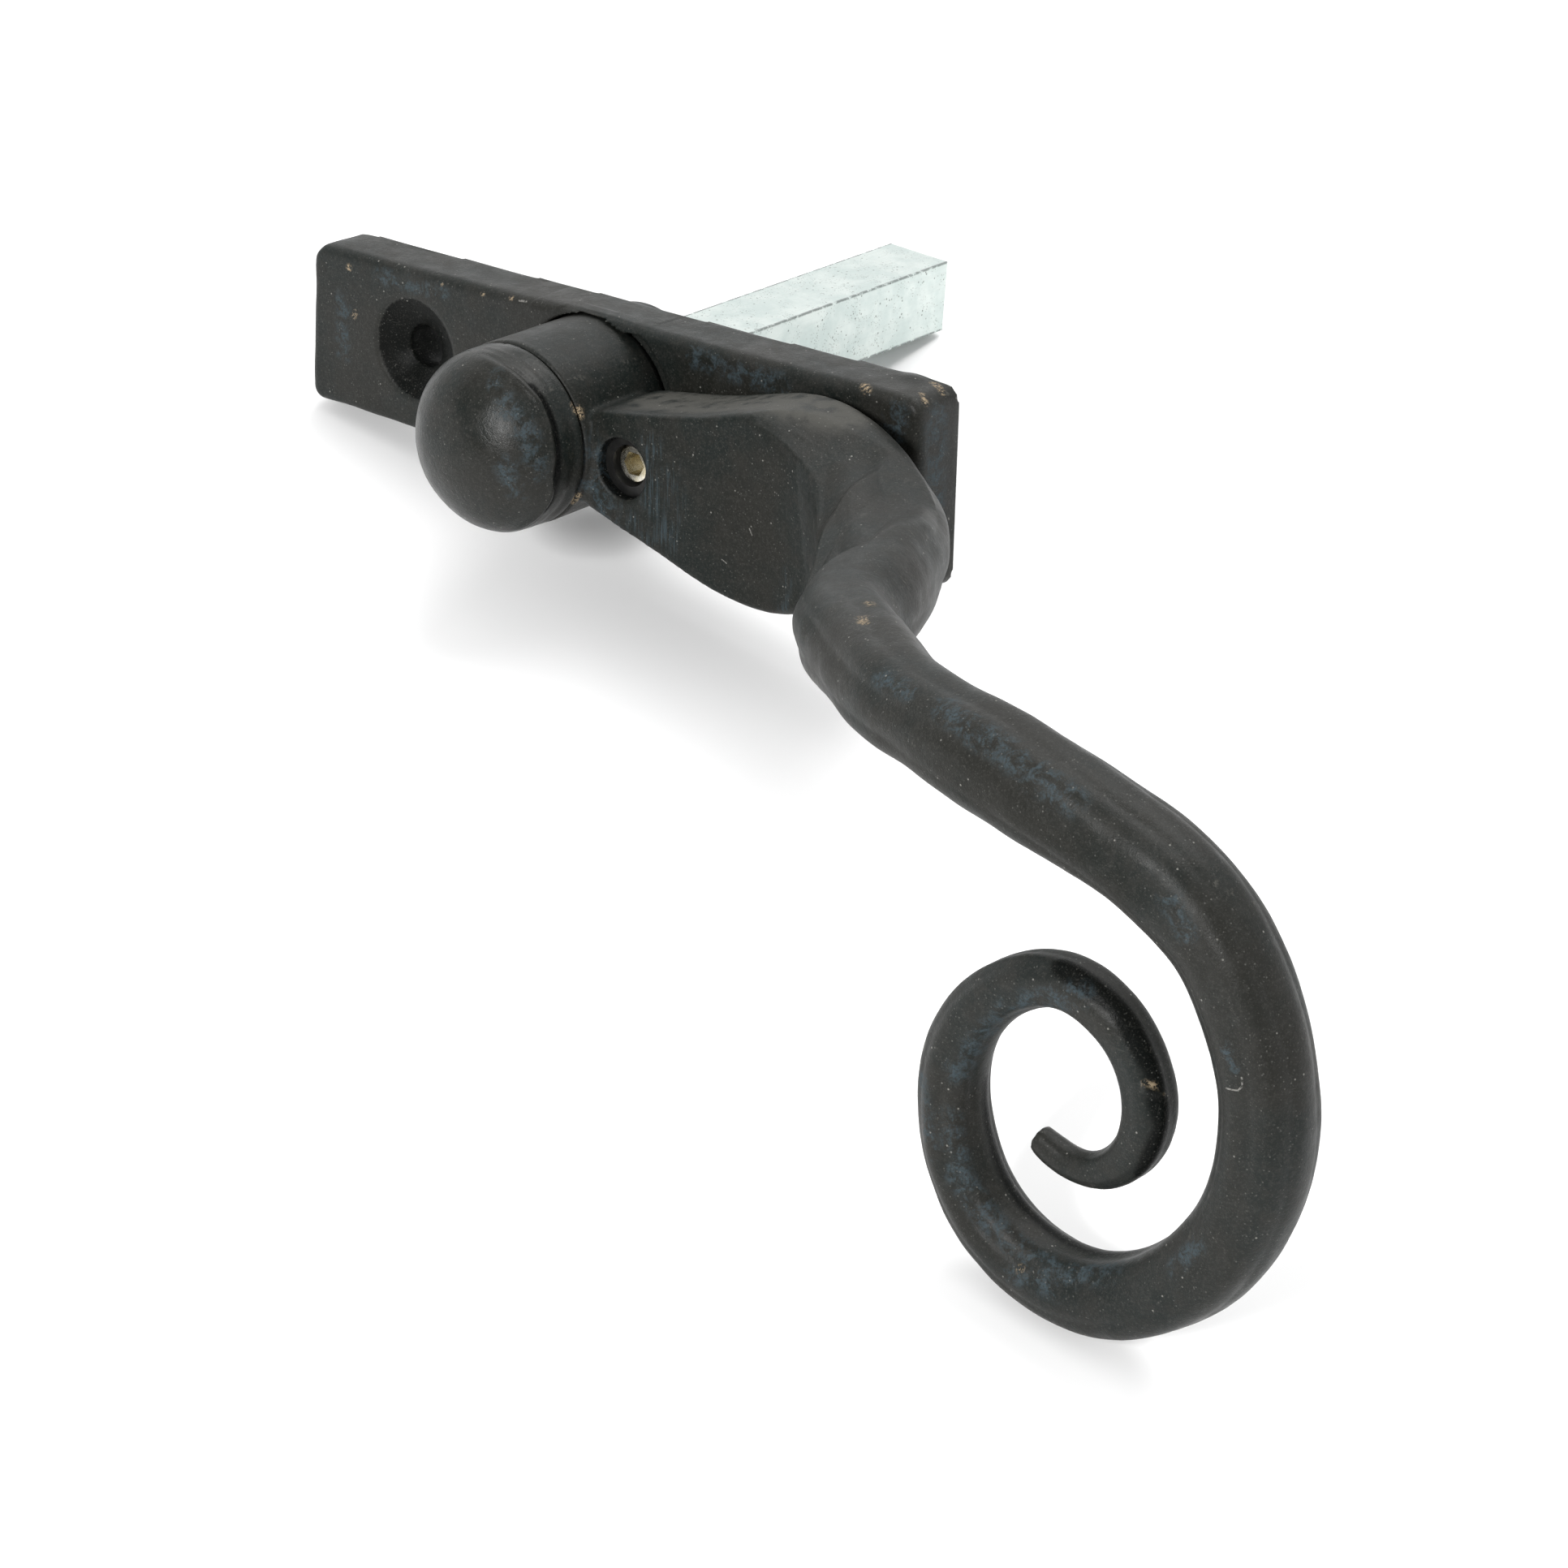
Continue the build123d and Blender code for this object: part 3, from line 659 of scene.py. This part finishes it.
LEVER_RESIDUE = [
    ([(93.3, -51.25, -15.6), (94.0, -50.8, -15.75)], 0.34), ([(93.0, -51.3, -16.1), (94.3, -50.3, -16.5)], 0.20),
    ([(7.35, -14.9, 4.0), (7.3, -14.9, 3.4)], 0.55), ([(6.6, -14.9, -4.7), (7.2, -14.9, -4.1)], 0.5),
    ([(59.2, -41.0, 6.9), (60.0, -41.9, 6.9)], 0.5), ([(57.6, -38.3, 6.9), (58.3, -38.7, 6.9)], 0.4),
    ([(84.2, -52.2, -33.9)], 0.4), ([(33.8, -14.9, -1.5), (34.0, -14.9, 1.0)], 0.22)]
LEVER_SCRATCH = [
    ([(100.9, -52.85, -12.55), (101.9, -52.85, -12.35), (102.2, -52.85, -11.9), (102.1, -52.85, -11.3)], 0.10),
    ([(20.2, -14.2, 6.0), (21.4, -14.2, 6.5)], 0.12), ([(29.3, -14.3, 5.5), (30.6, -14.4, 4.6)], 0.14),
    ([(26.0, -14.2, -2.4), (26.3, -14.2, -2.9)], 0.10), ([(23.0, -14.2, -6.0), (23.5, -14.2, -6.2)], 0.08),
    ([(97.6, -52.9, -4.6), (98.6, -52.9, -5.2)], 0.08), ([(68.0, -49.6, 4.4), (69.4, -50.0, 4.2)], 0.08)]
def in_holes(c):
    """Where shade is painted: inside the fixing holes and the lock pocket, up to their rims."""
    r = np.minimum(np.hypot(c[:, 0] + 21.7, c[:, 2] - 0.32), np.hypot(c[:, 0] - 21.5, c[:, 2]))
    r2 = np.hypot(c[:, 0] - 11.5, c[:, 2] + 0.7)
    return (((r < 5.25) & (c[:, 1] > -5.34)) | ((r2 < 2.3) & (c[:, 1] > -5.3))) * 1.0


def filed_front(c):
    """The flat filed front of the blade, up to its creases, and the under side of the bar."""
    facing = -normals_of(lever.data)[:, 1]
    flat = ramp(facing, 0.84, 0.95) * (c[:, 0] > 8.4) * (c[:, 0] < 34.5) * (c[:, 1] < -13.4) * (c[:, 1] > -15.2)
    return np.maximum(0.85 * flat, mask_on(c, LEVER_SHADE, 0.0))


def in_recess(c):
    """Where shade is painted: inside the lock's recess, and on the shaded inner faces of the scroll."""
    r = np.hypot(c[:, 0] - 11.5, c[:, 2] + 0.7)
    return np.maximum(((r < 3.0) & (c[:, 1] > -14.0)) * 1.0, mask_on(c, LEVER_PAINTED_SHADE, 0.55))


lever.data.materials.append(waxed("waxed_iron_lever", 2.0, lever, LEVER_FILM, LEVER_STREAKS, LEVER_RESIDUE, LEVER_SCRATCH,
                                   LEVER_LIT, in_recess, filed_front))
plate.data.materials.append(waxed(
    "waxed_iron_plate", 40.0, plate,
    shade=[([(12.0, -5.5, 4.0), (34.0, -5.5, 4.5)], 6.0)],
    film=[([(12.0, -5.5, 7.4), (16.5, -5.5, 7.2), (22.0, -5.5, 7.3)], 1.5), ([(34.5, -5.6, 7.6), (34.0, -5.6, 4.0)], 1.8),
          ([(37.0, -3.0, 7.0), (37.0, -3.0, -2.0)], 2.2), ([(-26.0, -5.5, 6.5), (-18.0, -5.5, 6.6)], 1.2),
          ([(-31.0, -5.5, 3.0), (-31.0, -5.5, -2.0)], 1.5)],
    residue=[([(-30.0, -5.5, 6.4)], 0.45), ([(-29.3, -5.5, 2.2), (-29.5, -5.5, 1.8)], 0.35),
             ([(30.6, -4.95, 9.0), (31.2, -5.2, 8.7)], 0.5), ([(34.7, -0.84, 9.1), (36.2, -1.5, 8.9)], 0.45),
             ([(35.5, -3.5, 8.9), (36.6, -4.2, 8.7)], 0.4),
             ([(-13.0, -5.45, 7.6)], 0.3), ([(-9.6, -5.3, 7.9)], 0.3), ([(-18.0, -5.4, 7.4)], 0.25)],
    painted_shade=in_holes,
    scratches=[([(-8.6, -5.31, 7.9), (-7.8, -5.3, 8.0)], 0.14), ([(18.0, -4.9, 8.3), (18.8, -4.9, 8.35)], 0.12)]))
# Points along the rolled lip's step, where painted shade darkens the groove.
LIP = []
for deg in range(-56, 88, 6):
    a_ = math.radians(deg)
    LIP.append((7.95 * math.cos(a_), -18.32 + 0.24 * math.sin(a_ * 2.3 + 0.8) - 0.10 * math.cos(a_ * 5.0), 7.95 * math.sin(a_)))
dome.data.materials.append(waxed(
    "waxed_iron_cap", 80.0, dome, gloss=0.13,
    painted_shade=[(LIP[3:19], 0.62)],
    film=[([(2.3, -19.7, 7.2), (2.6, -20.4, 6.4)], 1.0), ([(4.4, -20.8, 5.1), (6.0, -20.6, 3.2)], 1.7),
          ([(6.7, -20.3, 2.5), (7.1, -20.2, -0.3)], 1.5), ([(5.0, -21.6, 0.0), (5.6, -21.0, -2.0)], 1.6)],
    residue=[([(7.0, -15.2, 4.35), (7.2, -15.2, 3.8)], 0.5), ([(6.9, -15.3, -4.4), (7.2, -15.3, -3.9)], 0.4)],
    scratches=[([(7.0, -19.3, 2.2), (7.2, -19.4, -0.4)], 0.07)]))


def plain_metal(name, base, alt, rough, metallic=1.0, scale=2.0, pits=0.0, lines=None, bump=0.2, seed=0.0, dist=0.03, spec=0.5):
    m = Mat(name)
    m.bsdf.inputs["Specular IOR Level"].default_value = spec
    a = m.noise(scale * 0.25, 4.0, 0.6, off=seed)
    b = m.noise(scale * 2.0, 4.0, 0.6, off=seed + 4)
    col = m.mix(m.rng(a, 0.35, 0.65), base, alt)
    h = m.math("MULTIPLY", b, 0.5)
    r = m.mixf(m.rng(b, 0.3, 0.7), rough - 0.06, rough + 0.07)
    if lines is not None:
        l = m.noise(1.0, 4.0, 0.65, stretch=lines, off=seed + 9)
        h = m.math("ADD", h, l)
        col = m.mix(m.math("MULTIPLY", m.rng(l, 0.45, 0.75), 0.20), col, tuple(0.72 * c for c in base[:3]) + (1,))
    if pits:
        vo = m.voronoi(1.7, off=seed + 2)
        f = m.math("MULTIPLY", m.rng(vo.outputs["Distance"], 0.08, 0.24, 1.0, 0.0), m.rng(m.noise(0.45, 3.0, 0.6, off=seed + 6), 0.46, 0.56))
        vo2 = m.voronoi(4.0, off=seed + 12)
        f2 = m.math("MULTIPLY", m.rng(vo2.outputs["Distance"], 0.10, 0.34, 1.0, 0.0), m.rng(m.noise(0.5, 3.0, 0.6, off=seed + 16), 0.46, 0.58))
        f = m.math("MAXIMUM", f, m.math("MULTIPLY", f2, 0.8))
        col = m.mix(m.math("MULTIPLY", f, pits), col, (0.10, 0.11, 0.10, 1))
        h = m.math("SUBTRACT", h, f)
    m.plug(m.bsdf.inputs["Base Color"], col)
    m.plug(m.bsdf.inputs["Roughness"], r)
    m.bsdf.inputs["Metallic"].default_value = metallic
    m.plug(m.bsdf.inputs["Normal"], m.bump(h, bump, dist * MM))
    return m.m


def edge_lines(mat, half, angle, colour):
    """Darker lines along the corners of a square bar that runs in Y."""
    m = Mat.__new__(Mat)
    m.m, m.nt = mat, mat.node_tree
    m.bsdf = m.nt.nodes["Principled BSDF"]
    tc = m.add("ShaderNodeTexCoord")
    m.mm = m.vec("SCALE", tc.outputs["Object"], scale=1000.0)
    a = math.radians(angle)
    u = m.math("ABSOLUTE", m.vec("DOT_PRODUCT", m.mm, (math.cos(a), 0.0, math.sin(a))))
    w = m.math("ABSOLUTE", m.vec("DOT_PRODUCT", m.mm, (-math.sin(a), 0.0, math.cos(a))))
    near_ = m.rng(m.math("MINIMUM", u, w), half - 0.26, half - 0.10)
    near_ = m.math("MULTIPLY", near_, m.rng(m.noise(1.3, 3.0, 0.6, off=61.0), 0.36, 0.52))
    sock = m.bsdf.inputs["Base Color"]
    old = sock.links[0].from_socket
    m.plug(sock, m.mix(m.math("MULTIPLY", near_, 0.75), old, colour))
    return mat


def assign(node, mat):
    o = nodes[node]
    o.data.materials.clear()
    o.data.materials.append(mat)


assign("spindle", edge_lines(plain_metal("zinc_plate", (0.62, 0.675, 0.650, 1), (0.52, 0.590, 0.570, 1), 0.36, scale=1.2, pits=0.80,
                              lines=(3.0, 0.12, 3.0), bump=0.30, seed=5.0), 3.5, SPINDLE_TWIST, (0.10, 0.115, 0.11, 1)))
assign("lock_screw", plain_metal("worn_nickel", (0.82, 0.79, 0.70, 1), (0.62, 0.55, 0.38, 1), 0.20, scale=1.6, bump=0.10, seed=9.0))
assign("lock_sleeve", plain_metal("black_steel_sleeve", (0.008, 0.008, 0.008, 1), (0.014, 0.014, 0.013, 1), 0.34, metallic=0.0, spec=0.20, scale=3.0, bump=0.4, seed=3.0))
assign("retaining_disc", plain_metal("black_steel_disc", (0.014, 0.015, 0.014, 1), (0.024, 0.026, 0.026, 1), 0.42, metallic=0.0, spec=0.26, scale=1.6, bump=0.5, seed=13.0))
assign("circlip", plain_metal("spring_steel_clip", (0.20, 0.20, 0.20, 1), (0.12, 0.12, 0.125, 1), 0.36, scale=2.0, lines=(2.0, 2.0, 2.0), bump=0.25, seed=17.0))
assign("wave_washer", plain_metal("spring_steel_washer", (0.24, 0.24, 0.24, 1), (0.16, 0.16, 0.165, 1), 0.34, scale=2.0, bump=0.25, seed=21.0))
assign("spindle_set_screw", plain_metal("black_oxide", (0.05, 0.05, 0.05, 1), (0.08, 0.08, 0.08, 1), 0.38, scale=3.0, bump=0.3, seed=25.0))
assign("bearing_bush", plain_metal("black_nylon", (0.016, 0.016, 0.016, 1), (0.022, 0.022, 0.022, 1), 0.50, metallic=0.0, scale=3.0, bump=0.3, seed=29.0))

# ================================================================ floor, light
n = Vector((0.1489, -0.2086, 0.9666)).normalized()
groups = [coords(plate.data), coords(nodes["spindle"].data), coords(lever.data)]
for _ in range(12):
    low = [Vector(g[int(np.argmin(g @ np.array(n)))]) for g in groups]
    m_ = (low[1] - low[0]).cross(low[2] - low[0]).normalized()
    n = m_ if m_.z > 0 else -m_
floor_n, floor_p = n, low[0]

cam_pos = Vector((0.229958, -0.260006, 0.120982))
cam = bpy.data.objects.new("camera", bpy.data.cameras.new("camera"))
R = [[0.7705762, 0.6370703, 0.0188108], [0.2796014, -0.3113782, -0.9082217], [-0.5727438, 0.7051135, -0.4180664]]
cam.matrix_world = Matrix((
    (R[0][0], -R[1][0], -R[2][0], cam_pos.x),
    (R[0][1], -R[1][1], -R[2][1], cam_pos.y),
    (R[0][2], -R[1][2], -R[2][2], cam_pos.z),
    (0, 0, 0, 1)))
cam.data.sensor_width = 36.0
cam.data.lens = 5000.0 / 1932.0 * 36.0
cam.data.clip_start = 0.01
scene.collection.objects.link(cam)
scene.camera = cam

up = floor_n
away = Vector((-cam_pos.x, -cam_pos.y, 0.0))
away = (away - up * away.dot(up)).normalized()      # floor direction away from the camera
right = away.cross(up).normalized()

bpy.ops.mesh.primitive_plane_add(size=6.0)
floor = bpy.context.object
floor.name = "floor"
floor.matrix_world = Matrix((
    (right.x, away.x, up.x, floor_p.x),
    (right.y, away.y, up.y, floor_p.y),
    (right.z, away.z, up.z, floor_p.z),
    (0, 0, 0, 1)))
fm = bpy.data.materials.new("floor")
fm.use_nodes = True
fm.node_tree.nodes["Principled BSDF"].inputs["Base Color"].default_value = (0.92, 0.92, 0.92, 1)
fm.node_tree.nodes["Principled BSDF"].inputs["Roughness"].default_value = 0.9
fm.node_tree.nodes["Principled BSDF"].inputs["Specular IOR Level"].default_value = 0.2
floor.data.materials.append(fm)

# white surroundings, dim where the camera and its operator stand
world = bpy.data.worlds.new("world")
scene.world = world
world.use_nodes = True
wt = world.node_tree
bg = wt.nodes["Background"]
wc = wt.nodes.new("ShaderNodeTexCoord")


def lobe(direction, inner, outer, lo_, hi_):
    """lo_ towards the direction, hi_ away from it; angles in degrees."""
    d = wt.nodes.new("ShaderNodeVectorMath")
    d.operation = "DOT_PRODUCT"
    nrm = wt.nodes.new("ShaderNodeVectorMath")
    nrm.operation = "NORMALIZE"
    wt.links.new(wc.outputs["Generated"], nrm.inputs[0])
    wt.links.new(nrm.outputs["Vector"], d.inputs[0])
    d.inputs[1].default_value = Vector(direction).normalized()
    r = wt.nodes.new("ShaderNodeMapRange")
    r.interpolation_type = "SMOOTHSTEP"
    wt.links.new(d.outputs["Value"], r.inputs["Value"])
    r.inputs["From Min"].default_value = math.cos(math.radians(outer))
    r.inputs["From Max"].default_value = math.cos(math.radians(inner))
    r.inputs["To Min"].default_value = hi_
    r.inputs["To Max"].default_value = lo_
    return r.outputs["Result"]


def wmul(a, b):
    q = wt.nodes.new("ShaderNodeMath")
    q.operation = "MULTIPLY"
    wt.links.new(a, q.inputs[0])
    wt.links.new(b, q.inputs[1])
    return q.outputs[0]


strength = wmul(lobe((0.10, -0.96, 0.26), 22, 76, 0.13, 1.24), lobe((0.25, 0.55, 0.80), 12, 50, 0.50, 1.0))
bg.inputs["Color"].default_value = (1.0, 1.0, 1.0, 1)
wt.links.new(strength, bg.inputs["Strength"])


def area(name, direction, dist, size, power, shape="DISK", size_y=None, target=(0.04, -0.02, 0.0)):
    light = bpy.data.lights.new(name, "AREA")
    light.shape = shape
    light.size = size
    if size_y:
        light.size_y = size_y
    light.energy = power
    o = bpy.data.objects.new(name, light)
    scene.collection.objects.link(o)
    t = Vector(target)
    pos = t + Vector(direction).normalized() * dist
    o.rotation_euler = (t - pos).to_track_quat("-Z", "Y").to_euler()
    o.location = pos
    return o


area("key", up * 1.0 + right * 0.35 + away * 0.55, 1.1, 0.85, 8.0)
area("front_glow", (0.18, -0.93, 0.36), 0.55, 0.075, 2.7, "RECTANGLE", 0.14, target=(0.004, -0.021, 0.003))
